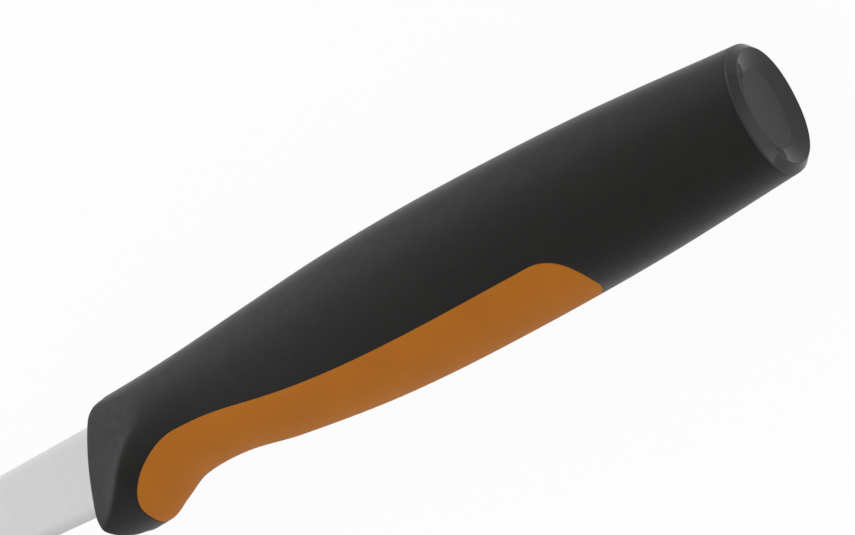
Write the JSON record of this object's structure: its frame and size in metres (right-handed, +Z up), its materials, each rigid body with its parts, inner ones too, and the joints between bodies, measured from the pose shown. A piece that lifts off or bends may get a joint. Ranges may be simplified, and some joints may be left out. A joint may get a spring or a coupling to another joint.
{
  "type": "peeling knife",
  "caption": "Short kitchen peeling knife with a curved steel blade, a swelling moulded handle with a soft belly grip and finger guard, and a dished end cap.",
  "frame": {"origin": "on the table, under the middle of the knife's bounding box, with the knife lying on its flank", "axes": "+X from the blade to the butt, +Y from the cutting edge to the spine, +Z up through the handle's flank"},
  "size_m": [0.1858, 0.0218, 0.018],
  "materials": {
    "blade_steel": "fine satin",
    "core_plastic": "plain moulded",
    "handle_plastic": "fine moulded grain",
    "grip_rubber": "smooth matt",
    "cap_plastic": "gloss"
  },
  "bodies": {
    "root": {"blade": "blade_steel", "handle_core": "core_plastic", "handle_body": "handle_plastic", "soft_grip": "grip_rubber", "end_cap": "cap_plastic"}
  },
  "joints": []
}
